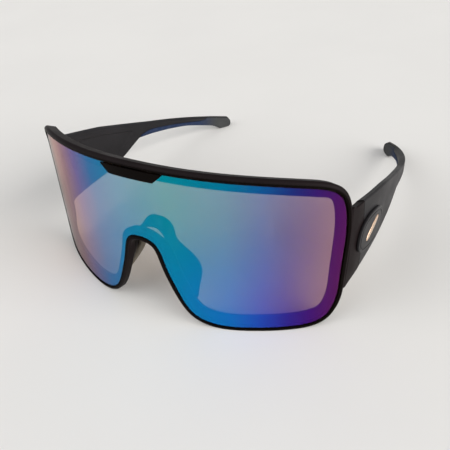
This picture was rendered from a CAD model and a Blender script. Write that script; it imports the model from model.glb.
"""Looks of the oversized shield sunglasses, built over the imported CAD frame.

Shapes are drawn in millimetres in the worn pose, in which the lens is upright: x to the
wearer's left, y back from the middle of the lens, z up. Then the glasses are leaned back
onto their lobes and tips, and the pieces are made in metres.
"""

import math

import bmesh
import bpy
import numpy as np
from bpy.props import FloatProperty, FloatVectorProperty, PointerProperty
from mathutils import Matrix, Vector


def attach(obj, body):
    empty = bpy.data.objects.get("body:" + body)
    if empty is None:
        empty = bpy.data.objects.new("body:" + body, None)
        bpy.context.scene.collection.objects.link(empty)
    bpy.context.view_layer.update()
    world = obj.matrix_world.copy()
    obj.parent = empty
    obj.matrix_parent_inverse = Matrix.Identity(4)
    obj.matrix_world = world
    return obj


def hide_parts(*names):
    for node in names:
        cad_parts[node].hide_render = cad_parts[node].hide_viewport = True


bl_info = {
    "name": "Shield sunglasses",
    "version": (1, 0, 0),
    "blender": (4, 5, 0),
    "location": "3D View > Sidebar > Sunglasses",
    "description": "Dresses a pair of oversized shield sunglasses and sets their studio",
    "category": "Object",
}

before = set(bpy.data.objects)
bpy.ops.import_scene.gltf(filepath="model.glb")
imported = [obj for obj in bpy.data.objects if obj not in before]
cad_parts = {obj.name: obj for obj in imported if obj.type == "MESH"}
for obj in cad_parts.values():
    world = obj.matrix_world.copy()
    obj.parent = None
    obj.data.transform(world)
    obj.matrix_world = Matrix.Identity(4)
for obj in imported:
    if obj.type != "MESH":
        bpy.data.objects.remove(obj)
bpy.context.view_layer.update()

MM = 0.001
GAP = 0.3
SIDES = (("left", 1.0), ("right", -1.0))

# Lens
LENS_HALF_OUTLINE = [
    (0.0, 34.0), (21.1, 33.6), (43.0, 32.6), (62.2, 30.9), (73.2, 27.0), (76.0, 18.6),
    (76.1, 6.3), (75.4, -7.3), (74.4, -17.2), (70.4, -25.0), (58.2, -28.7), (43.1, -29.7),
    (30.5, -29.9), (20.1, -26.4), (13.7, -15.9), (9.4, -4.1), (5.9, 3.8), (0.0, 5.6),
]
OUTLINE_STEP = 1.6
OUTLINE_TURN = 3.0
WRAP_STEP = 1.0
LENS_EDGE_ROUND = 0.3

# Rim
BROW_FROM, BROW_TO = 21.0, 29.0
LOBE_FROM, LOBE_TO = 14.0, 24.0
BROW_EXTRA_WIDTH, BROW_FALL = 0.3, 1.0
LOBE_LESS_WIDTH, LOW_LESS_DEPTH = 0.3, 1.1
NOSE_FROM, NOSE_TO = 18.0, 26.0
RIM_PROUD, BROW_PROUD = 0.3, 0.6
SEAT_WIDTH, SEAT_DEPTH = 1.1, 1.0
RIM_DEPTH = 4.4
RIM_LIP = 0.22
REAR_ROUND = 0.6
LEDGE_WIDTH, SIDE_LEDGE_WIDTH, NOSE_LEDGE_WIDTH = 4.4, 3.4, 2.8
SIDE_SPAN = (66.0, 74.0)
ARCH_TOP, ARCH_SQUASH, ARCH_SPAN = 5.0, 0.8, (5.0, 9.5)
LEDGE_THICKNESS, LEDGE_ROUND = 0.9, 0.2
SCOOP_DEPTH, SCOOP_SPAN, SCOOP_TOP, SCOOP_SAG = 0.6, (22.0, 46.0), 32.0, 2.6
SCOOP_STEPS = 32

# Brow clip
CLIP_TOP_HALF, CLIP_FOOT_HALF = 13.7, 9.6
CLIP_TOP, CLIP_TOP_CORNER, CLIP_FOOT = 34.0, 33.75, 30.2
CLIP_PROUD, CLIP_ROUND = 1.1, 0.3
CLIP_STEM_HALF, CLIP_STEM, CLIP_STEM_TOP = 4.5, (31.6, 33.4), 0.6

# Sides
SIDE_THICKNESS, END_ROUND = 3.1, 0.5
SIDE_PLAN = [
    (26.9, 71.6), (30.0, 72.5), (36.0, 73.2), (60.0, 73.9), (88.0, 73.1),
    (113.6, 70.5), (132.0, 65.6), (147.0, 59.2), (157.0, 53.6),
]
LEAN, LEAN_CENTRE, LEAN_FADE = 0.0016, 13.0, (60.0, 95.0)
CROWN_START, CROWN_FALL, CROWN_BAND, CROWN_SLOPE = (34.0, 21.6), 0.24, (-6.0, -1.0), 0.36
END_THINNING, END_SPAN = 0.45, (26.0, 29.5)
PARTING_TOP, PARTING_FOOT = (34.0, 21.7), (37.75, -10.2)
SLICE_STEP, LEAN_STEP = 1.3, 2.3
END_PIECE = [
    (26.4, 22.6, 0.9), (28.6, 21.4, 1.2), (40.0, 20.9, 0.0), (42.0, -9.8, 0.0),
    (30.5, -10.9, 8.0), (26.9, -14.5, 0.9),
]
TEMPLE = [
    (28.0, 22.7, 0.0), (61.0, 16.2, 60.0), (100.0, 6.0, 80.0), (133.0, -1.5, 60.0),
    (150.0, -5.3, 30.0), (162.4, -8.2, 3.1), (161.4, -14.3, 3.1), (154.5, -14.2, 5.0),
    (147.5, -10.6, 14.0), (128.0, -5.3, 60.0), (98.0, -0.9, 40.0), (88.0, 0.2, 5.0),
    (75.0, -4.9, 30.0), (62.0, -8.3, 40.0), (28.0, -11.1, 0.0),
]
GRIP = [
    (88.6, 1.2, 0.5), (98.0, 2.3, 12.0), (118.0, -0.7, 60.0), (140.0, -4.7, 30.0),
    (151.0, -3.6, 6.0), (170.0, -3.6, 1.0), (170.0, -18.0, 1.0), (140.0, -18.0, 1.0),
    (90.5, -5.0, 1.0),
]
GRIP_DEPTH, GRIP_PROUD = 1.1, 0.25
PANEL = [
    (41.5, 16.6, 2.0), (58.0, 13.6, 30.0), (85.0, 6.9, 1.6), (69.0, -3.6, 5.0),
    (60.0, -5.2, 12.0), (44.5, -6.6, 2.0),
]
PANEL_DEPTH, PANEL_SLOPE = 0.4, 0.8

# Badge
BADGE_CENTRE, BADGE_SIZE, BADGE_TURN = (43.6, 4.8), (25.4, 15.6), -9.5
BAR_CENTRE, BAR_SIZE, BAR_TURN = (43.9, 5.2), (12.4, 3.4), 24.0
PILL_POWER, PILL_POINTS = 0.78, 96
BADGE_HEIGHT, BADGE_ROUND = 0.8, 0.3
GROOVE_INSET, GROOVE_HALF, GROOVE_DEPTH = 1.1, 0.25, 0.25
BAR_POCKET, BAR_PROUD, BAR_CROWN, BAR_SLOPE = 0.45, 0.2, 0.22, 0.9

# Nose saddle and pads
SADDLE_FRONT = [
    (0.0, 8.2, 4.7), (2.0, 8.0, 4.6), (4.4, 7.1, 3.9), (6.8, 5.6, 2.1), (7.8, 4.6, -0.6),
    (8.1, 4.4, -3.2), (8.8, 4.4, -7.0), (10.6, 4.7, -11.6), (13.3, 5.1, -16.6),
    (16.4, 5.8, -22.6),
]
SADDLE_REAR = [
    (0.0, 13.0, 7.1), (2.3, 13.0, 6.9), (4.4, 12.7, 5.7), (6.0, 11.8, 3.4), (6.9, 11.0, 1.0),
    (9.0, 11.2, -1.0), (12.8, 12.0, -3.6), (16.6, 12.2, -7.1), (19.0, 11.4, -11.0),
    (18.9, 9.8, -15.4), (17.0, 8.2, -21.9),
]
SADDLE_THICKNESS, SADDLE_STEPS = (0.9, 1.6), 56
WALL_ROUND, WALL_POINTS = 0.45, 8
NEAR_ALONG, NEAR_ACROSS = 0.02, 0.1
WING_BULGE, WING_SPAN, WING_END = 1.8, (0.25, 0.5), (0.65, 0.95)
PAD_SPAN, PAD_DEPTH = (0.40, 0.91), (0.40, 0.97)
PAD_THICKNESS, PAD_END_THICKNESS, PAD_TAPER, PAD_STEPS = 2.8, 1.6, 0.30, 48

# Rest on the table
REST_TILT = math.radians(6.7)
REST = Matrix.Translation((0.0, -76.64, 31.8)) @ Matrix.Rotation(-REST_TILT, 4, "X")
SHARP_ANGLE, BROKEN_EDGE = math.radians(34.0), 0.1
MIRROR_FACING = 0.98

# Mirror coat: (distance across from the middle, colour) at the top and foot of the lens
COAT_TOP = [
    (-72.0, (0.26, 0.14, 0.13)), (-63.0, (0.40, 0.21, 0.19)), (-54.0, (1.00, 0.48, 0.38)),
    (-44.0, (0.54, 0.22, 0.32)), (-34.0, (0.25, 0.18, 0.58)), (-22.0, (0.020, 0.27, 0.68)),
    (-8.0, (0.000, 0.38, 0.70)), (14.0, (0.000, 0.46, 0.60)), (34.0, (0.000, 0.33, 0.60)),
    (46.0, (0.006, 0.17, 0.58)), (54.0, (0.024, 0.055, 0.42)), (61.0, (0.085, 0.018, 0.34)),
    (70.0, (0.205, 0.020, 0.24)),
]
COAT_FOOT = [
    (-72.0, (0.26, 0.14, 0.13)), (-63.0, (0.34, 0.17, 0.17)), (-54.0, (0.44, 0.17, 0.17)),
    (-44.0, (0.36, 0.16, 0.26)), (-34.0, (0.24, 0.21, 0.52)), (-22.0, (0.045, 0.28, 0.70)),
    (-8.0, (0.004, 0.34, 0.76)), (14.0, (0.000, 0.38, 0.82)), (34.0, (0.010, 0.30, 0.94)),
    (46.0, (0.034, 0.13, 0.84)), (54.0, (0.064, 0.045, 0.60)), (61.0, (0.120, 0.016, 0.40)),
    (70.0, (0.250, 0.030, 0.20)),
]
COAT_REACH = 80.0

# Studio: lamps as (azimuth, elevation) in degrees, camera in the worn pose
SIDE_LAMP, FRONT_LAMP, LAMP_SPREAD = (86.0, 18.0), (-40.0, 38.0), 55.0
FLOOR_REACH = 6.0
CAMERA_AZIMUTH, CAMERA_ELEVATION, CAMERA_ROLL = 0.5535, 0.5618, -0.0560
CAMERA_TARGET, CAMERA_DISTANCE = (25.06, 20.0, 6.22), 189.88
FOCAL_PIXELS, IMAGE_PIXELS, SENSOR_WIDTH = 499.98, 450.0, 36.0


class ShellSettings(bpy.types.PropertyGroup):
    """Sizes and colours of the mouldings, the soft parts and the badge bars."""
    rim_width: FloatProperty(
        name="Rim width", description="Width of the rim beside the lens",
        default=0.0020, unit="LENGTH", subtype="DISTANCE")
    brow_round: FloatProperty(
        name="Brow rounding", description="Radius of the front edge of the brow",
        default=0.0014, unit="LENGTH", subtype="DISTANCE")
    temple_round: FloatProperty(
        name="Temple rounding", description="Radius of the edges of the temples",
        default=0.0009, unit="LENGTH", subtype="DISTANCE")
    front_colour: FloatVectorProperty(
        name="Front", description="Colour of the front",
        default=(0.0098, 0.0066, 0.0070), size=3, subtype="COLOR")
    shell_colour: FloatVectorProperty(
        name="Temples", description="Colour of the temples and the badges",
        default=(0.016, 0.0150, 0.0165), size=3, subtype="COLOR")
    trim_colour: FloatVectorProperty(
        name="Trim", description="Colour of the brow clip, the nose saddle and the lip",
        default=(0.0032, 0.0020, 0.0016), size=3, subtype="COLOR")
    grip_colour: FloatVectorProperty(
        name="Grip", description="Colour of the soft grips along the arms",
        default=(0.0145, 0.027, 0.069), size=3, subtype="COLOR")
    tip_colour: FloatVectorProperty(
        name="Tip", description="Colour of the soft grips at the tips",
        default=(0.046, 0.047, 0.048), size=3, subtype="COLOR")
    pad_colour: FloatVectorProperty(
        name="Nose pad", description="Colour of the nose pads",
        default=(0.20, 0.172, 0.132), size=3, subtype="COLOR")
    bar_colour: FloatVectorProperty(
        name="Badge bar", description="Colour of the metal bars in the badges",
        default=(1.0, 0.70, 0.50), size=3, subtype="COLOR")


class LensSettings(bpy.types.PropertyGroup):
    """Sizes and tint of the lens."""
    base_radius: FloatProperty(
        name="Base curve", description="Radius of the front face of the lens",
        default=0.1083, unit="LENGTH", subtype="DISTANCE")
    thickness: FloatProperty(
        name="Thickness", description="Thickness of the lens",
        default=0.0020, unit="LENGTH", subtype="DISTANCE")
    coat_cover: FloatProperty(
        name="Mirror cover", description="Share of the light that the mirror coat keeps back",
        default=0.62, min=0.0, max=1.0, subtype="FACTOR")
    tint_cover: FloatProperty(
        name="Tint cover", description="Share of the light that the tinted body keeps back",
        default=0.22, min=0.0, max=1.0, subtype="FACTOR")
    tint_light: FloatVectorProperty(
        name="Tint of the light",
        description="Colour of the light that the tinted body lets through",
        default=(0.94, 0.70, 0.48), size=3, subtype="COLOR")
    tint_colour: FloatVectorProperty(
        name="Tint", description="Colour of the lens seen from inside",
        default=(0.030, 0.020, 0.014), size=3, subtype="COLOR")


class StudioSettings(bpy.types.PropertyGroup):
    """Floor and light."""
    floor_colour: FloatVectorProperty(
        name="Floor", description="Colour of the floor",
        default=(0.80, 0.785, 0.76), size=3, subtype="COLOR")
    key_strength: FloatProperty(
        name="Key lamp", description="Strength of the low soft light from the wearer's left",
        default=3.8, min=0.0)
    fill_strength: FloatProperty(
        name="Fill lamp", description="Strength of the soft light from the front",
        default=1.1, min=0.0)
    world_strength: FloatProperty(
        name="World", description="Strength of the even light all round", default=0.42, min=0.0)
    backdrop_strength: FloatProperty(
        name="Backdrop", description="Brightness of the plain backdrop", default=0.66, min=0.0)


def blend(value, low, high):
    """0 below low, 1 above high and a smooth step between."""
    t = np.clip((value - low) / (high - low), 0.0, 1.0)
    return t * t * (3.0 - 2.0 * t)


def cubic(points, closed=False):
    """A cubic spline through the points, as a function of its length parameter."""
    pts = np.asarray(points, float)
    if closed:
        pts = np.vstack((pts, pts[:1]))
    knots = np.r_[0.0, np.cumsum(np.linalg.norm(np.diff(pts, axis=0), axis=1))]
    step = np.diff(knots)
    slope = np.diff(pts, axis=0) / step[:, None]
    last = len(knots) - 1
    matrix = np.eye(last + 1)
    right = np.zeros_like(pts)
    for i in range(1, last):
        matrix[i, i - 1:i + 2] = step[i - 1], 2.0 * (step[i - 1] + step[i]), step[i]
        right[i] = 6.0 * (slope[i] - slope[i - 1])
    if closed:
        matrix[0, :2] = 2.0 * (step[-1] + step[0]), step[0]
        matrix[0, last - 1] = step[-1]
        right[0] = 6.0 * (slope[0] - slope[-1])
        matrix[last, 0] = -1.0
    bend = np.linalg.solve(matrix, right)

    def curve(length):
        i = int(np.clip(np.searchsorted(knots, length, side="right") - 1, 0, last - 1))
        h, a, b = step[i], knots[i + 1] - length, length - knots[i]
        return (
            (bend[i] * a ** 3 + bend[i + 1] * b ** 3) / (6.0 * h)
            + (pts[i] / h - bend[i] * h / 6.0) * a
            + (pts[i + 1] / h - bend[i + 1] * h / 6.0) * b
        )

    return curve, knots[-1]


PLAN_CURVE, PLAN_LENGTH = cubic([(x, y) for y, x in SIDE_PLAN])
SADDLE_CURVES = (cubic(SADDLE_FRONT), cubic(SADDLE_REAR))


def evenly(points, longest, turn):
    """Points along the closed spline, closer together where it turns."""
    curve, length = cubic(points, True)
    dense = np.array([curve(t) for t in np.linspace(0.0, length, 4000)])
    run = np.diff(dense, axis=0)
    size = np.linalg.norm(run, axis=1)
    run /= size[:, None]
    bend = np.arccos(np.clip((run[1:] * run[:-1]).sum(1), -1.0, 1.0))
    cost = np.r_[0.0, np.cumsum(size / longest + np.r_[0.0, bend] / math.radians(turn))]
    marks = np.linspace(0.0, cost[-1], int(math.ceil(cost[-1])) + 1)
    return np.stack([np.interp(marks, cost, axis) for axis in dense.T], axis=1)[:-1]


def rounded_outline(corners, tolerance=0.004):
    """A closed outline whose corners, given as (x, y, radius), are arcs."""
    outline = []
    pts = [np.array(corner[:2], float) for corner in corners]
    for i, (_, _, radius) in enumerate(corners):
        here = pts[i]
        if radius == 0.0:
            outline.append(here)
            continue
        back = pts[i - 1] - here
        ahead = pts[(i + 1) % len(pts)] - here
        back /= np.linalg.norm(back)
        ahead /= np.linalg.norm(ahead)
        half = 0.5 * math.acos(float(np.clip(back @ ahead, -1.0, 1.0)))
        middle = back + ahead
        middle /= np.linalg.norm(middle)
        centre = here + middle * radius / math.sin(half)
        start = here + back * radius / math.tan(half) - centre
        sweep = math.pi - 2.0 * half
        if back[0] * ahead[1] - back[1] * ahead[0] > 0.0:
            sweep = -sweep
        turn = 2.0 * math.acos(1.0 - tolerance / max(radius, 0.3))
        count = max(2, int(math.ceil(abs(sweep) / turn)))
        for k in range(count + 1):
            a = sweep * k / count
            c, s = math.cos(a), math.sin(a)
            outline.append(centre + (c * start[0] - s * start[1], s * start[0] + c * start[1]))
    loop = np.array(outline)
    area = np.sum(loop[:, 0] * np.roll(loop[:, 1], -1) - np.roll(loop[:, 0], -1) * loop[:, 1])
    return loop if area > 0.0 else loop[::-1]


def offset_loop(loop, distance):
    """The counter-clockwise loop moved outwards, by one distance or one for each point."""
    ahead = np.roll(loop, -1, axis=0) - loop
    ahead = ahead / np.linalg.norm(ahead, axis=1)[:, None]
    behind = np.roll(ahead, 1, axis=0)
    both = ahead + behind
    out = np.stack((both[:, 1], -both[:, 0]), axis=1)
    out = out / (1.0 + (ahead * behind).sum(1))[:, None]
    return loop + out * np.broadcast_to(distance, len(loop))[:, None]


def level(loop, height):
    """The flat loop lifted to a height, one number or one for each point."""
    return np.c_[loop, np.broadcast_to(height, len(loop))]


def face_out(bm):
    """Turns the faces of a closed body outwards."""
    bmesh.ops.recalc_face_normals(bm, faces=bm.faces)
    if bm.calc_volume(signed=True) < 0.0:
        bmesh.ops.reverse_faces(bm, faces=bm.faces)
    return bm


def loft(rings, cyclic=False):
    """Extrudes a closed loop from ring to ring, capped at its ends unless it is cyclic."""
    bm = bmesh.new()
    verts = [bm.verts.new(point) for point in rings[0]]
    first = edges = [bm.edges.new(pair) for pair in zip(verts, verts[1:] + verts[:1])]
    slots = {vert: i for i, vert in enumerate(verts)}
    for ring in rings[1:] + (rings[:1] if cyclic else []):
        made = bmesh.ops.extrude_edge_only(bm, edges=edges)["geom"]
        fresh = {}
        for vert in (item for item in made if isinstance(item, bmesh.types.BMVert)):
            old = next(v for e in vert.link_edges for v in e.verts if v in slots)
            fresh[vert] = slots[old]
        for vert, i in fresh.items():
            vert.co = ring[i]
        slots = fresh
        edges = [e for e in made if isinstance(e, bmesh.types.BMEdge) and e.is_boundary]
    if cyclic:
        bmesh.ops.remove_doubles(bm, verts=bm.verts, dist=1e-5)
    else:
        bmesh.ops.edgeloop_fill(bm, edges=first + edges)
    return face_out(bm)


def arc(start, end, radius, steps):
    """Offsets (inwards, along) of a rounded edge from one angle to another, in degrees."""
    angles = [math.radians(start + (end - start) * k / steps) for k in range(steps + 1)]
    return [(radius * math.cos(a), radius * math.sin(a)) for a in angles]


def plate(loop, low, high, edge=0.0, steps=5):
    """The outline as a plate from low to high, its edges rounded on both faces."""
    rings = [level(loop, low), level(loop, high)]
    if edge:
        curve = arc(90.0, 0.0, edge, steps)
        rings = [level(offset_loop(loop, a - edge), low + edge - b) for a, b in curve]
        rings += [level(offset_loop(loop, a - edge), high - edge + b) for a, b in curve[::-1]]
    return loft(rings)


def box(low, high):
    """A box between two corners."""
    bm = bmesh.new()
    size = Matrix.Diagonal(Vector(high) - Vector(low)).to_4x4()
    middle = Matrix.Translation((Vector(low) + Vector(high)) / 2.0)
    bmesh.ops.create_cube(bm, size=1.0, matrix=middle @ size)
    return bm


def combine(bm, tool, operation):
    """The Boolean of two bodies; both are used up."""
    objects = []
    for part in (bm, tool):
        mesh = bpy.data.meshes.new("working")
        part.to_mesh(mesh)
        part.free()
        objects.append(bpy.data.objects.new("working", mesh))
        bpy.context.scene.collection.objects.link(objects[-1])
    modifier = objects[0].modifiers.new("combine", "BOOLEAN")
    modifier.operation = operation
    modifier.solver = "MANIFOLD"
    modifier.object = objects[1]
    result = bmesh.new()
    result.from_object(objects[0], bpy.context.evaluated_depsgraph_get())
    for obj in objects:
        bpy.data.meshes.remove(obj.data)
    return result


def cut_off(bm, point, normal):
    """Removes what lies beyond a plane and closes the cut."""
    bmesh.ops.bisect_plane(
        bm, geom=bm.verts[:] + bm.edges[:] + bm.faces[:], dist=1e-4, clear_outer=True,
        plane_co=point, plane_no=normal)
    rim = [edge for edge in bm.edges if edge.is_boundary]
    if rim:
        bmesh.ops.holes_fill(bm, edges=rim)
    return bm


def cut_at_parting(bm, front):
    """Cuts a flat side pattern square along the parting line and keeps one part."""
    top, foot = (Vector((*point, 0.0)) for point in (PARTING_TOP, PARTING_FOOT))
    normal = (top - foot).cross(Vector((0.0, 0.0, 1.0))).normalized()
    return cut_off(bm, top if front else top + normal * GAP, normal if front else -normal)


def slice_across(bm, step, axis=0):
    """Cuts across an axis at every step, so that the body can be bent afterwards."""
    low = min(v.co[axis] for v in bm.verts)
    high = max(v.co[axis] for v in bm.verts)
    normal = Vector((axis == 0, axis == 1, axis == 2))
    for k in range(int(math.ceil(low / step)), int(math.floor(high / step)) + 1):
        bmesh.ops.bisect_plane(
            bm, geom=bm.verts[:] + bm.edges[:] + bm.faces[:], dist=1e-4,
            plane_co=normal * k * step, plane_no=normal)
    return bm


def reshape(bm, place):
    """Moves every point of the body by a function of its place."""
    bmesh.ops.triangulate(bm, faces=bm.faces[:])
    for v in bm.verts:
        v.co = place(v.co)
    return face_out(bm)


def wrap(co):
    """From the flat pattern of the front (along, up, out) to the base curve."""
    radius = settings().lens.base_radius / MM
    turn = co.x / radius
    reach = radius + co.z
    return Vector((reach * math.sin(turn), radius - reach * math.cos(turn), co.y))


def side_place(along, height, out, side):
    """From the flat pattern of a side (along, up, out of the outer face) to its place."""
    t = float(np.clip(along - SIDE_PLAN[0][0], 0.0, PLAN_LENGTH))
    x, y = PLAN_CURVE(t)
    ahead = PLAN_CURVE(min(t + 0.5, PLAN_LENGTH)) - PLAN_CURVE(max(t - 0.5, 0.0))
    ahead /= np.linalg.norm(ahead)
    past = along - SIDE_PLAN[0][0] - t
    x, y = x + ahead[0] * past, y + ahead[1] * past
    lean = LEAN * (height - LEAN_CENTRE) ** 2 * (1.0 - blend(along, *LEAN_FADE))
    if out < 0.0:
        below = height - CROWN_START[1] + CROWN_FALL * (along - CROWN_START[0])
        height += CROWN_SLOPE * out * blend(below, *CROWN_BAND)
        out *= 1.0 - END_THINNING * (1.0 - blend(along, *END_SPAN))
    return Vector((side * (x + out * ahead[1] - lean), y - out * ahead[0], height))


def on_side(bm, side):
    """Bends a flat side pattern into place."""
    slice_across(bm, SLICE_STEP)
    slice_across(bm, LEAN_STEP, 1)
    return reshape(bm, lambda co: side_place(co.x, co.y, co.z, side))


def lens_loop():
    """The outline of the lens, counter-clockwise from the middle of the brow."""
    half = LENS_HALF_OUTLINE
    left = [(-u, v) for u, v in half[1:-1]]
    return evenly(half[:1] + left + half[-1:] + half[-2:0:-1], OUTLINE_STEP, OUTLINE_TURN)


def rim_section(loop):
    """The rim's section as (distance out of the lens, height) pairs along the loop."""
    shell = settings().shell
    seat = -settings().lens.thickness / MM - GAP
    u, v = loop[:, 0], loop[:, 1]
    brow = blend(v, BROW_FROM, BROW_TO)
    lobe = blend(-v, LOBE_FROM, LOBE_TO)
    side = blend(np.abs(u), *SIDE_SPAN)
    nose = 1.0 - blend(np.hypot(u, (v - ARCH_TOP) * ARCH_SQUASH), *ARCH_SPAN)
    ledge = LEDGE_WIDTH + (SIDE_LEDGE_WIDTH - LEDGE_WIDTH) * side
    ledge = ledge + (NOSE_LEDGE_WIDTH - ledge) * nose
    width = shell.rim_width / MM + BROW_EXTRA_WIDTH * brow - LOBE_LESS_WIDTH * lobe
    rear = width - BROW_FALL * brow
    low = np.maximum(lobe, (1.0 - brow) * (1.0 - blend(np.abs(u), NOSE_FROM, NOSE_TO)))
    back = LOW_LESS_DEPTH * low - RIM_DEPTH
    fillet = 0.5 * shell.brow_round / MM * (1.0 + brow)
    proud = RIM_PROUD + (BROW_PROUD - RIM_PROUD) * brow
    lip = [(GAP + RIM_LIP - a, proud - RIM_LIP + b) for a, b in arc(0.0, 90.0, RIM_LIP, 4)]
    outer = [(width + fillet * (a - 1.0), proud + fillet * (b - 1.0))
             for a, b in arc(90.0, 0.0, 1.0, 7)]
    heel = [(rear + REAR_ROUND * (a - 1.0), back + REAR_ROUND * (1.0 + b))
            for a, b in arc(0.0, -90.0, 1.0, 5)]
    foot = seat - LEDGE_THICKNESS
    drop = [(0.5, back), (0.3, back + 0.15), (0.15, foot - 0.12), (0.0, foot)]
    shelf = [(LEDGE_ROUND - ledge, foot), (-ledge, foot + LEDGE_ROUND),
             (-ledge, seat - LEDGE_ROUND), (LEDGE_ROUND - ledge, seat)]
    return [(GAP, seat), *lip, *outer, *heel, *drop, *shelf]


def scoop(side):
    """Cutter for the shallow crescent in the ledge below the brow."""
    start, end = SCOOP_SPAN
    share = [k / SCOOP_STEPS for k in range(SCOOP_STEPS + 1)]
    foot = [(start + (end - start) * t, SCOOP_TOP - t - SCOOP_SAG * 4.0 * t * (1.0 - t))
            for t in share]
    loop = np.array(foot + [(end, SCOOP_TOP - 0.2), (start, SCOOP_TOP + 1.0)])
    loop[:, 0] *= side
    floor = -settings().lens.thickness / MM - GAP
    cutter = plate(loop if side > 0.0 else loop[::-1], floor - SCOOP_DEPTH, floor + 0.5)
    return slice_across(cutter, WRAP_STEP)


def front_frame():
    """Rim with its ledge, both crescents in it and both end pieces, as one moulding."""
    loop = lens_loop()
    rim = loft([level(offset_loop(loop, d), w) for d, w in rim_section(loop)], cyclic=True)
    for _, side in SIDES:
        rim = combine(rim, scoop(side), "DIFFERENCE")
    reshape(rim, wrap)
    for _, side in SIDES:
        end = plate(rounded_outline(END_PIECE), -SIDE_THICKNESS, 0.0, END_ROUND, 4)
        rim = combine(rim, on_side(cut_at_parting(end, True), side), "UNION")
    return rim


def seat_faces(bm):
    """Faces of the rim's lip close beside the lens."""
    loop = lens_loop()
    run = np.roll(loop, -1, axis=0) - loop
    radius = settings().lens.base_radius / MM
    for face in bm.faces:
        middle = face.calc_center_median()
        if math.hypot(middle.x, middle.y - radius) < radius - SEAT_DEPTH:
            continue
        spot = np.array([radius * math.atan2(middle.x, radius - middle.y), middle.z])
        share = np.clip(((spot - loop) * run).sum(1) / (run ** 2).sum(1), 0.0, 1.0)
        if np.hypot(*(loop + run * share[:, None] - spot).T).min() < SEAT_WIDTH:
            yield face


def shield_lens():
    """The lens, notched at the middle of its top edge for the clip."""
    thickness = settings().lens.thickness / MM
    lens = plate(lens_loop(), -thickness, 0.0, LENS_EDGE_ROUND, 2)
    half = CLIP_STEM_HALF + GAP
    notch = box((-half, CLIP_STEM[0] - GAP, -5.0), (half, 40.0, 5.0))
    return reshape(slice_across(combine(lens, notch, "DIFFERENCE"), WRAP_STEP), wrap)


def brow_clip():
    """Tapered tab over the top edge of the lens, with the stem that locks it."""
    tab = plate(rounded_outline([
        (CLIP_FOOT_HALF, CLIP_FOOT, 1.0), (CLIP_TOP_HALF, CLIP_TOP_CORNER, 0.3),
        (0.0, CLIP_TOP, 0.0), (-CLIP_TOP_HALF, CLIP_TOP_CORNER, 0.3),
        (-CLIP_FOOT_HALF, CLIP_FOOT, 1.0),
    ]), GAP, CLIP_PROUD, CLIP_ROUND, 4)
    thickness = settings().lens.thickness / MM
    low, high = CLIP_STEM
    stem = box((-CLIP_STEM_HALF, low, -thickness), (CLIP_STEM_HALF, high, CLIP_STEM_TOP))
    return reshape(slice_across(combine(tab, stem, "UNION"), WRAP_STEP), wrap)


def saddle_face(t, depth, side):
    """Point on the inner face of the saddle: t along it, depth from front to rear."""
    front, rear = SADDLE_CURVES
    a = front[0](t * front[1])
    b = rear[0](t * rear[1])
    x, y, z = a + (b - a) * depth
    wing = blend(t, *WING_SPAN) - blend(t, *WING_END)
    x -= WING_BULGE * 4.0 * depth * (1.0 - depth) * float(wing)
    return Vector((side * x, y, z))


def saddle_out(t, depth, side):
    """Direction across the saddle's wall, away from the nose."""
    start, end = max(t - NEAR_ALONG, 0.0), min(t + NEAR_ALONG, 1.0)
    ahead = saddle_face(end, depth, side) - saddle_face(start, depth, side)
    if t == 0.0:
        ahead = Vector((side, 0.0, 0.0))
    low, high = max(depth - NEAR_ACROSS, 0.0), min(depth + NEAR_ACROSS, 1.0)
    across = saddle_face(t, high, side) - saddle_face(t, low, side)
    return (side * ahead.cross(across)).normalized()


def wall_ring(t, side, low, high, inner, outer):
    """A rounded section of a wall on the saddle; outer is its distance at front and rear."""
    width = (saddle_face(t, 1.0, side) - saddle_face(t, 0.0, side)).length
    radius = WALL_ROUND * min(outer[0] - inner, outer[1] - inner, (high - low) * width)
    share = radius / width
    middle = np.linspace(low + share, high - share, WALL_POINTS + 2)[1:-1]
    ring = []
    for end, wall, start in ((low, inner, 180.0), (high, inner, 270.0), (high, outer[1], 0.0),
                             (low, outer[0], 90.0)):
        centre = (end + share if end == low else end - share,
                  wall + radius if wall == inner else wall - radius)
        ring += [(centre[0] + a * share, centre[1] + b * radius)
                 for a, b in arc(start, start + 90.0, 1.0, 5)]
        if start == 180.0:
            ring += [(d, inner) for d in middle]
        if start == 0.0:
            ring += [(d, outer[0] + (outer[1] - outer[0]) * (d - low) / (high - low))
                     for d in middle[::-1]]
    return [saddle_face(t, d, side) + saddle_out(t, d, side) * w for d, w in ring]


def nose_saddle():
    """The bridge behind the lens, whose two wings carry the pads."""
    half = [k / SADDLE_STEPS for k in range(SADDLE_STEPS + 1)]
    wall = (0.0, 1.0, 0.0, SADDLE_THICKNESS)
    return loft([wall_ring(t, -1.0, *wall) for t in reversed(half)]
                + [wall_ring(t, 1.0, *wall) for t in half[1:]])


def nose_pad(side):
    """Soft leaf-shaped pad on the nose side of a wing."""
    rings = []
    for k in range(PAD_STEPS + 1):
        share = k / PAD_STEPS
        narrow = PAD_TAPER * abs(2.0 * share - 1.0) ** 3
        round_off = math.sqrt(max(0.05, 1.0 - abs(2.0 * share - 1.0) ** 8))
        thick = PAD_THICKNESS - (PAD_THICKNESS - PAD_END_THICKNESS) * share ** 3
        t = PAD_SPAN[0] + (PAD_SPAN[1] - PAD_SPAN[0]) * share
        rings.append(wall_ring(t, side, PAD_DEPTH[0] + 0.5 * narrow, PAD_DEPTH[1] - narrow,
                               -GAP - thick * round_off, (-GAP, -GAP)))
    return loft(rings)


def temple_blank(inner):
    """The flat pattern of a temple, its outer face at zero."""
    edge = settings().shell.temple_round / MM
    return cut_at_parting(plate(rounded_outline(TEMPLE), inner, 0.0, edge), False)


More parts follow.
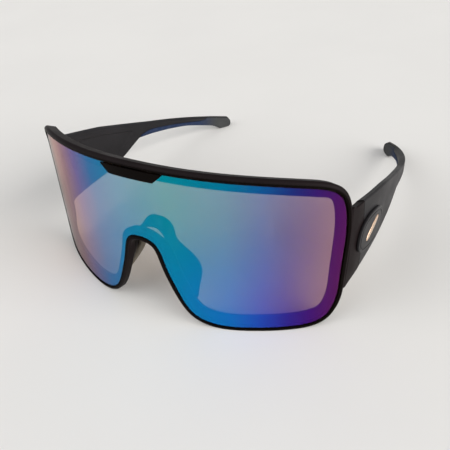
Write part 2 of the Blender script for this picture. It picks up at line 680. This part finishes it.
def temple(side):
    """Broad front part narrowing to a slim arm with a hooked, thickened tip."""
    inner = -SIDE_THICKNESS
    zone = offset_loop(rounded_outline(GRIP), GAP)
    pocket = plate(zone, inner - 2.0, inner + GRIP_DEPTH + GAP)
    blank = combine(temple_blank(inner), pocket, "DIFFERENCE")
    recess = rounded_outline(PANEL)
    panel = loft([level(recess, inner - 1.0), level(recess, inner),
                  level(offset_loop(recess, -PANEL_SLOPE), inner + PANEL_DEPTH)])
    return on_side(combine(blank, panel, "DIFFERENCE"), side)


def temple_grip(side):
    """Soft inlay along the lower inner side of the arm and over the inside of the tip."""
    inner = -SIDE_THICKNESS
    zone = plate(rounded_outline(GRIP), inner - 2.0, inner + GRIP_DEPTH)
    return on_side(combine(temple_blank(inner - GRIP_PROUD), zone, "INTERSECT"), side)


def pill(centre, size, turn, inset=0.0):
    """Outline of a badge part, turned in the side view."""
    angle = math.radians(turn)
    c, s = math.cos(angle), math.sin(angle)
    points = []
    for k in range(PILL_POINTS):
        around = 2.0 * math.pi * k / PILL_POINTS
        x, y = (
            (0.5 * length - inset) * math.copysign(abs(share) ** PILL_POWER, share)
            for length, share in zip(size, (math.cos(around), math.sin(around))))
        points.append((centre[0] + c * x - s * y, centre[1] + s * x + c * y))
    return np.array(points)


def badge(side):
    """Raised pill with a fine groove and a pocket for the bar."""
    loop = pill(BADGE_CENTRE, BADGE_SIZE, BADGE_TURN)
    top = GAP + BADGE_HEIGHT
    edge = [(a - BADGE_ROUND, top - BADGE_ROUND + b) for a, b in arc(0.0, 90.0, BADGE_ROUND, 4)]
    groove = [(-GROOVE_INSET - GROOVE_HALF + GROOVE_HALF * a, top - GROOVE_DEPTH * b)
              for a, b in arc(0.0, 180.0, 1.0, 6)]
    body = loft([level(offset_loop(loop, d), w) for d, w in [(0.0, GAP), *edge, *groove]])
    pocket = plate(pill(BAR_CENTRE, BAR_SIZE, BAR_TURN, -GAP), top - BAR_POCKET, top + 2.0)
    return on_side(combine(body, pocket, "DIFFERENCE"), side)


def badge_bar(side):
    """Plain metal bar in the badge, crowned along its middle."""
    top = GAP + BADGE_HEIGHT
    outline = pill(BAR_CENTRE, BAR_SIZE, BAR_TURN)
    foot, head = top - BAR_POCKET + GAP, top + BAR_PROUD
    rings = [level(outline, foot), level(outline, head - BAR_CROWN)]
    rings += [level(offset_loop(outline, BAR_SLOPE * (a - 1.0)), head + BAR_CROWN * (b - 1.0))
              for a, b in arc(15.0, 90.0, 1.0, 5)]
    return on_side(loft(rings), side)


def rest_flat(bm):
    """Cuts a body level with the table where it would reach below it."""
    table = REST.inverted()
    return cut_off(bm, table.translation, table.to_3x3() @ Vector((0.0, 0.0, -1.0)))


def settings():
    """The values that the panel shows."""
    return bpy.context.scene.sunglasses


def finish_piece(name, bm, materials, body, node, broken_edge=0.0):
    """Makes a piece of a body in millimetres in the worn pose and hands it to the frame."""
    bmesh.ops.transform(bm, matrix=Matrix.Scale(MM, 4) @ REST, verts=bm.verts)
    mesh = bpy.data.meshes.new(name)
    bm.to_mesh(mesh)
    bm.free()
    mesh.shade_smooth()
    mesh.set_sharp_from_angle(angle=SHARP_ANGLE)
    for material in materials:
        mesh.materials.append(material)
    piece = bpy.data.objects.new(name, mesh)
    bpy.context.scene.collection.objects.link(piece)
    if broken_edge:
        bevel = piece.modifiers.new("broken edges", "BEVEL")
        bevel.width = broken_edge * MM
        bevel.segments = 2
        bevel.limit_method = "ANGLE"
        bevel.angle_limit = SHARP_ANGLE
        bevel.use_clamp_overlap = True
    even = piece.modifiers.new("even shading", "WEIGHTED_NORMAL")
    even.keep_sharp = True
    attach(piece, body)
    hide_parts(node)


class Wire:
    """A socket in a material, with arithmetic that adds Math nodes."""

    def __init__(self, shader, socket):
        self.shader = shader
        self.socket = socket

    def math(self, operation, *others):
        """A Math node on this value and others."""
        values = dict(enumerate((self, *others)))
        return self.shader.node("ShaderNodeMath", {"operation": operation}, values)

    def __add__(self, other):
        return self.math("ADD", other)

    def __mul__(self, other):
        return self.math("MULTIPLY", other)

    def __sub__(self, other):
        return self.math("SUBTRACT", other)

    def __rsub__(self, other):
        return (self * -1.0) + other

    def __truediv__(self, other):
        return self.math("DIVIDE", other)

    __radd__ = __add__
    __rmul__ = __mul__

    def step(self, low, high):
        """0 below low, 1 above high and a smooth step between."""
        return self.shader.node(
            "ShaderNodeMapRange", {"interpolation_type": "SMOOTHSTEP"},
            {"Value": self, "From Min": low, "From Max": high})


class Shader:
    """A material whose nodes are added by one method."""

    def __init__(self, name, **constants):
        self.material = bpy.data.materials.new(name)
        self.material.use_nodes = True
        self.tree = self.material.node_tree
        self.surface = self.tree.nodes["Principled BSDF"]
        for label, value in constants.items():
            label = label.replace("_", " ").title().replace("Ior", "IOR")
            self.surface.inputs[label].default_value = value

    def node(self, kind, made_with=None, sockets=None, output=0):
        """Adds a node with its settings and the values or links of its sockets."""
        node = self.tree.nodes.new(kind)
        for name, value in (made_with or {}).items():
            setattr(node, name, value)
        for key, value in (sockets or {}).items():
            if isinstance(value, Wire):
                self.tree.links.new(value.socket, node.inputs[key])
            else:
                node.inputs[key].default_value = value
        return Wire(self, node.outputs[output])

    def place(self, location=(0.0, 0.0, 0.0), rotation=(0.0, 0.0, 0.0), scale=(1.0, 1.0, 1.0)):
        """Object coordinates through a Mapping node."""
        spot = self.node("ShaderNodeTexCoord", output="Object")
        return self.node("ShaderNodeMapping", {}, {
            "Vector": spot, "Location": location, "Rotation": rotation, "Scale": scale})

    def noise(self, place, scale, detail=3.0, roughness=0.5):
        """Soft noise between 0 and 1."""
        return self.node("ShaderNodeTexNoise", {}, {
            "Vector": place, "Scale": scale, "Detail": detail, "Roughness": roughness})

    def ramp(self, value, stops):
        """Colours at places between 0 and 1."""
        wire = self.node("ShaderNodeValToRGB", {}, {"Fac": value})
        ramp = wire.socket.node.color_ramp
        while len(ramp.elements) < len(stops):
            ramp.elements.new(0.5)
        for element, (position, colour) in zip(ramp.elements, stops):
            element.position = position
            element.color = (*colour, 1.0)
        return wire

    def mix(self, factor, first, second):
        """Mixes two colours."""
        first, second = ((*c, 1.0) if isinstance(c, tuple) else c for c in (first, second))
        return self.node("ShaderNodeMix", {"data_type": "RGBA"},
                         {0: factor, 6: first, 7: second}, output=2)

    def mottle(self, value, low, high, colour, darker, lighter):
        """The colour, darker below the low value and lighter above the high one."""
        return self.mix(value.step(low, high), tinted(colour, darker), tinted(colour, lighter))

    def bump(self, height, distance):
        """Feeds a height in metres of distance to the surface's normal."""
        self.feed("Normal", self.node("ShaderNodeBump", {}, {
            "Height": height, "Distance": distance}))

    def feed(self, label, wire):
        """Links a value to the surface."""
        self.tree.links.new(wire.socket, self.surface.inputs[label])


def tinted(colour, factor):
    """The colour made lighter or darker."""
    return tuple(min(1.0, c * factor) for c in colour)


def moulded_plastic(name, colour, roughness, grain, gloss=0.10):
    """Spark-eroded plastic: fine grain, faint cloudiness and a slight polish by hands."""
    shader = Shader(name, roughness=roughness, specular_ior_level=gloss)
    place = shader.place()
    cloud = shader.noise(place, 60.0, 4.0)
    speck = shader.noise(place, 2600.0, 2.0)
    tone = shader.mottle(cloud, 0.3, 0.7, colour, 0.86, 1.14)
    tone = shader.mix(speck.step(0.42, 0.78) * 0.35, tone, tinted(colour, 1.9))
    shader.feed("Base Color", tone)
    shader.feed("Roughness", roughness - 0.09 * cloud.step(0.35, 0.75) + 0.10 * (speck - 0.5))
    shader.bump(shader.noise(place, 3200.0, 3.0, 0.6), grain * MM)
    return shader.material


def soft_rubber():
    """Grip: bluish along the arm, paler at the tip, with a matt bloom."""
    shell = settings().shell
    shader = Shader("soft_grip", roughness=0.78, specular_ior_level=0.12)
    place = shader.place()
    back = shader.node("ShaderNodeSeparateXYZ", {}, {0: place}, output=1)
    bloom = shader.noise(place, 420.0, 4.0)
    arm, tip = tuple(shell.grip_colour), tuple(shell.tip_colour)
    tone = shader.mix(back.step(0.055, 0.070), arm, tip)
    tone = shader.mix(bloom.step(0.35, 0.8) * 0.08, tone, (0.22, 0.22, 0.21))
    shader.feed("Base Color", tone)
    shader.feed("Roughness", 0.70 + 0.16 * bloom)
    shader.bump(shader.noise(place, 2100.0, 2.0), 0.02 * MM)
    return shader.material


def pad_rubber():
    """Nose pads: warm matt rubber, a little darker where it is handled."""
    colour = tuple(settings().shell.pad_colour)
    shader = Shader("pad_rubber", roughness=0.62, specular_ior_level=0.4)
    place = shader.place()
    smear = shader.noise(place, 150.0, 3.0)
    shader.feed("Base Color", shader.mottle(smear, 0.3, 0.75, colour, 0.8, 1.08))
    shader.feed("Roughness", 0.52 + 0.2 * smear)
    shader.bump(shader.noise(place, 2400.0, 2.0), 0.012 * MM)
    return shader.material


def rose_gold():
    """Polished bar: faint lengthwise scratches."""
    colour = tuple(settings().shell.bar_colour)
    shader = Shader("rose_gold", metallic=1.0, roughness=0.2)
    place = shader.place(rotation=(math.radians(BAR_TURN), 0.0, 0.0), scale=(1.0, 0.12, 1.0))
    scratch = shader.noise(place, 3800.0, 3.0)
    shader.feed("Base Color", shader.mottle(scratch, 0.3, 0.8, colour, 0.9, 1.06))
    shader.feed("Roughness", 0.15 + 0.16 * scratch)
    shader.bump(scratch, 0.003 * MM)
    return shader.material


def hinge_steel():
    """Blackened drawn steel of the hinge leaves and screws."""
    shader = Shader("hinge_steel", metallic=1.0, roughness=0.3)
    place = shader.place(scale=(1.0, 1.0, 0.1))
    drawn = shader.noise(place, 5200.0, 3.0)
    stain = shader.noise(shader.place(), 500.0, 2.0)
    tone = shader.mix(stain.step(0.4, 0.8), (0.060, 0.060, 0.064), (0.042, 0.040, 0.040))
    shader.feed("Base Color", tone)
    shader.feed("Roughness", 0.22 + 0.22 * drawn)
    shader.bump(drawn, 0.004 * MM)
    return shader.material


def worn_pose_place(shader):
    """Coordinates in millimetres in the worn pose."""
    back = REST.inverted()
    return shader.place(tuple(back.translation), (REST_TILT, 0.0, 0.0), (1.0 / MM,) * 3)


def mirror_coat():
    """See-through mirror: teal in the middle, violet and rose towards the ends."""
    lens = settings().lens
    shader = Shader("mirror_coat", metallic=1.0, roughness=0.06)
    place = worn_pose_place(shader)
    parts = shader.node("ShaderNodeSeparateXYZ", {}, {0: place})
    across = Wire(shader, parts.socket.node.outputs[0])
    height = Wire(shader, parts.socket.node.outputs[2])
    waver = shader.noise(place, 0.022, 2.0)
    spot = (across + 6.0 * (waver - 0.5)) / (2.0 * COAT_REACH) + 0.5
    top, foot = (shader.ramp(spot, [(0.5 + x / (2.0 * COAT_REACH), c) for x, c in bands])
                 for bands in (COAT_TOP, COAT_FOOT))
    coat = shader.mix(height.step(-24.0, 27.0), foot, top)
    haze = shader.noise(shader.place(scale=(1.0, 1.0, 0.25)), 210.0, 4.0)
    shader.feed("Base Color", shader.mix(haze.step(0.6, 0.85) * 0.07, coat, (0.70, 0.78, 0.85)))
    shader.feed("Roughness", 0.04 + 0.05 * haze)
    shader.feed("Alpha", lens.coat_cover - 0.10 * across.step(40.0, 66.0))
    return shader.material


def tinted_body():
    """Smoke tint of the lens, seen from inside and at its edges."""
    lens = settings().lens
    shader = Shader("tinted_body", roughness=0.05, specular_ior_level=0.25)
    place = shader.place()
    smear = shader.noise(place, 130.0, 4.0)
    colour = tuple(lens.tint_colour)
    shader.feed("Base Color", shader.mottle(smear, 0.3, 0.8, colour, 0.9, 1.15))
    shader.feed("Roughness", 0.04 + 0.05 * smear)
    clear = shader.node("ShaderNodeBsdfTransparent", {}, {"Color": (*lens.tint_light, 1.0)})
    body = Wire(shader, shader.surface.outputs["BSDF"])
    both = shader.node("ShaderNodeMixShader", {}, {
        0: lens.tint_cover + 0.04 * (smear - 0.5), 1: clear, 2: body})
    output = shader.tree.nodes["Material Output"]
    shader.tree.links.new(both.socket, output.inputs["Surface"])
    return shader.material


def studio_floor():
    """Pale matt floor with faint mottling."""
    colour = tuple(settings().studio.floor_colour)
    shader = Shader("studio_floor", roughness=0.85, specular_ior_level=0.2)
    cloud = shader.noise(shader.place(), 9.0, 4.0)
    shader.feed("Base Color", shader.mottle(cloud, 0.3, 0.7, colour, 0.99, 1.01))
    return shader.material


class SUNGLASSES_OT_front(bpy.types.Operator):
    """Builds the rim with its end pieces, and the brow clip"""
    bl_idname = "sunglasses.front"
    bl_label = "Front and brow clip"

    def execute(self, context):
        shell = settings().shell
        plastic = moulded_plastic("front_plastic", tuple(shell.front_colour), 0.50, 0.012, 0.05)
        trim = moulded_plastic("trim_plastic", tuple(shell.trim_colour), 0.44, 0.006, 0.03)
        bm = rest_flat(front_frame())
        for face in seat_faces(bm):
            face.material_index = 1
        finish_piece("front_moulding", bm, [plastic, trim], "front", "front_frame",
                     BROKEN_EDGE)
        finish_piece("brow_clip_moulding", brow_clip(), [trim], "front", "brow_clip")
        return {"FINISHED"}


class SUNGLASSES_OT_lens(bpy.types.Operator):
    """Builds the curved lens with its mirror coat outside and its tint inside"""
    bl_idname = "sunglasses.lens"
    bl_label = "Lens"

    def execute(self, context):
        bm = shield_lens()
        radius = settings().lens.base_radius / MM
        bm.normal_update()
        for face in bm.faces:
            out = face.calc_center_median() - Vector((0.0, radius, 0.0))
            out.z = 0.0
            face.material_index = 0 if face.normal.dot(out.normalized()) > MIRROR_FACING else 1
        finish_piece("lens_shield", bm, [mirror_coat(), tinted_body()],
                     "front", "shield_lens")
        return {"FINISHED"}


class SUNGLASSES_OT_nose(bpy.types.Operator):
    """Builds the nose saddle and its two soft pads"""
    bl_idname = "sunglasses.nose"
    bl_label = "Nose saddle and pads"

    def execute(self, context):
        shell = settings().shell
        trim = moulded_plastic("saddle_plastic", tuple(shell.trim_colour), 0.36, 0.005)
        finish_piece("nose_saddle_moulding", nose_saddle(), [trim],
                     "front", "nose_saddle")
        rubber = pad_rubber()
        for name, side in SIDES:
            finish_piece(f"nose_pad_soft_{name}", nose_pad(side), [rubber],
                         "front", f"nose_pad_{name}")
        return {"FINISHED"}


class SUNGLASSES_OT_temples(bpy.types.Operator):
    """Builds both temples with their soft grips"""
    bl_idname = "sunglasses.temples"
    bl_label = "Temples and grips"

    def execute(self, context):
        shell = settings().shell
        plastic = moulded_plastic("temple_plastic", tuple(shell.shell_colour), 0.50, 0.012)
        rubber = soft_rubber()
        for name, side in SIDES:
            body = f"{name}_temple"
            finish_piece(f"temple_moulding_{name}", rest_flat(temple(side)), [plastic],
                         body, f"temple_{name}", BROKEN_EDGE)
            finish_piece(f"temple_grip_soft_{name}", rest_flat(temple_grip(side)), [rubber],
                         body, f"temple_grip_{name}")
        return {"FINISHED"}


class SUNGLASSES_OT_badges(bpy.types.Operator):
    """Builds both badges with their plain metal bars"""
    bl_idname = "sunglasses.badges"
    bl_label = "Badges"

    def execute(self, context):
        shell = settings().shell
        plastic = moulded_plastic("badge_plastic", tuple(shell.shell_colour), 0.42, 0.006)
        metal = rose_gold()
        for name, side in SIDES:
            body = f"{name}_temple"
            finish_piece(f"badge_pill_{name}", badge(side), [plastic],
                         body, f"badge_{name}")
            finish_piece(f"badge_metal_{name}", badge_bar(side), [metal],
                         body, f"badge_bar_{name}")
        return {"FINISHED"}


class SUNGLASSES_OT_hinges(bpy.types.Operator):
    """Gives the hinge leaves and screws their blackened steel"""
    bl_idname = "sunglasses.hinges"
    bl_label = "Hinge steel"

    def execute(self, context):
        steel = hinge_steel()
        for name, _ in SIDES:
            for node in ("frame_hinge_leaf", "temple_hinge_leaf", "hinge_screw"):
                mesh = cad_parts[f"{node}_{name}"].data
                mesh.materials.clear()
                mesh.materials.append(steel)
        return {"FINISHED"}


def soft_lamp(name, strength, azimuth, elevation, colour):
    """Even, very soft light from one side, as from a wall of diffusers."""
    data = bpy.data.lights.new(name, "SUN")
    data.energy = strength
    data.angle = math.radians(LAMP_SPREAD)
    data.color = colour
    lamp = bpy.data.objects.new(name, data)
    lamp.rotation_euler = (math.radians(90.0 - elevation), 0.0, math.radians(azimuth))
    bpy.context.scene.collection.objects.link(lamp)


def studio_world(strength, backdrop):
    """Even light all round, and a backdrop as pale as the floor."""
    world = bpy.data.worlds.new("studio_world")
    world.use_nodes = True
    nodes, links = world.node_tree.nodes, world.node_tree.links
    light = nodes["Background"]
    light.inputs["Color"].default_value = (0.97, 0.98, 1.0, 1.0)
    light.inputs["Strength"].default_value = strength
    wall = nodes.new("ShaderNodeBackground")
    wall.inputs["Color"].default_value = (1.0, 0.985, 0.97, 1.0)
    wall.inputs["Strength"].default_value = backdrop
    both = nodes.new("ShaderNodeMixShader")
    links.new(nodes.new("ShaderNodeLightPath").outputs["Is Camera Ray"], both.inputs[0])
    links.new(light.outputs["Background"], both.inputs[1])
    links.new(wall.outputs["Background"], both.inputs[2])
    links.new(both.outputs["Shader"], nodes["World Output"].inputs["Surface"])
    bpy.context.scene.world = world


def photo_camera():
    """Camera at the photograph's viewing angle, found in the worn pose."""
    flat = math.cos(CAMERA_ELEVATION)
    back = Vector((math.sin(CAMERA_AZIMUTH) * flat, -math.cos(CAMERA_AZIMUTH) * flat,
                   math.sin(CAMERA_ELEVATION)))
    turn = back.to_track_quat("Z", "Y").to_matrix().to_4x4()
    place = Matrix.Translation(Vector(CAMERA_TARGET) + back * CAMERA_DISTANCE)
    view = REST @ place @ turn @ Matrix.Rotation(CAMERA_ROLL, 4, "Z")
    data = bpy.data.cameras.new("photo_camera")
    data.sensor_width = SENSOR_WIDTH
    data.lens = FOCAL_PIXELS / IMAGE_PIXELS * SENSOR_WIDTH
    data.clip_start = 0.01
    camera = bpy.data.objects.new("photo_camera", data)
    camera.matrix_world = Matrix.Translation(view.translation * MM) @ view.to_3x3().to_4x4()
    bpy.context.scene.collection.objects.link(camera)
    bpy.context.scene.camera = camera


class SUNGLASSES_OT_studio(bpy.types.Operator):
    """Builds the floor, the soft lamps and the camera"""
    bl_idname = "sunglasses.studio"
    bl_label = "Studio"

    def execute(self, context):
        studio = settings().studio
        bm = bmesh.new()
        bmesh.ops.create_grid(bm, x_segments=1, y_segments=1, size=FLOOR_REACH)
        mesh = bpy.data.meshes.new("studio_floor")
        bm.to_mesh(mesh)
        bm.free()
        mesh.materials.append(studio_floor())
        floor = bpy.data.objects.new("studio_floor", mesh)
        context.scene.collection.objects.link(floor)

        studio_world(studio.world_strength, studio.backdrop_strength)
        soft_lamp("side_lamp", studio.key_strength, *SIDE_LAMP, (1.0, 0.985, 0.96))
        soft_lamp("front_lamp", studio.fill_strength, *FRONT_LAMP, (0.98, 0.99, 1.0))
        photo_camera()
        context.scene.view_settings.view_transform = "Standard"
        return {"FINISHED"}


OPERATORS = (
    SUNGLASSES_OT_studio, SUNGLASSES_OT_front, SUNGLASSES_OT_lens, SUNGLASSES_OT_nose,
    SUNGLASSES_OT_temples, SUNGLASSES_OT_badges, SUNGLASSES_OT_hinges,
)


class SunglassesSettings(bpy.types.PropertyGroup):
    """All values of the sunglasses and their studio."""
    shell: PointerProperty(
        name="Mouldings", description="Mouldings and trim", type=ShellSettings)
    lens: PointerProperty(name="Lens", description="Curved lens", type=LensSettings)
    studio: PointerProperty(name="Studio", description="Floor and light", type=StudioSettings)


class SUNGLASSES_PT_panel(bpy.types.Panel):
    """Lists the pieces and their values"""
    bl_label = "Sunglasses"
    bl_space_type = "VIEW_3D"
    bl_region_type = "UI"
    bl_category = "Sunglasses"

    def draw(self, context):
        for group in (settings().shell, settings().lens, settings().studio):
            column = self.layout.column()
            for name in group.__annotations__:
                column.prop(group, name)
        for operator in OPERATORS:
            self.layout.operator(operator.bl_idname)


CLASSES = (ShellSettings, LensSettings, StudioSettings, SunglassesSettings, *OPERATORS,
           SUNGLASSES_PT_panel)


def register():
    for cls in CLASSES:
        bpy.utils.register_class(cls)
    bpy.types.Scene.sunglasses = PointerProperty(type=SunglassesSettings)


def unregister():
    del bpy.types.Scene.sunglasses
    for cls in reversed(CLASSES):
        bpy.utils.unregister_class(cls)


def main():
    """Builds everything in order and notes the sizes before and after."""
    register()
    for operator in OPERATORS:
        _, name = operator.bl_idname.split(".")
        getattr(bpy.ops.sunglasses, name)()


if __name__ == "__main__":
    main()
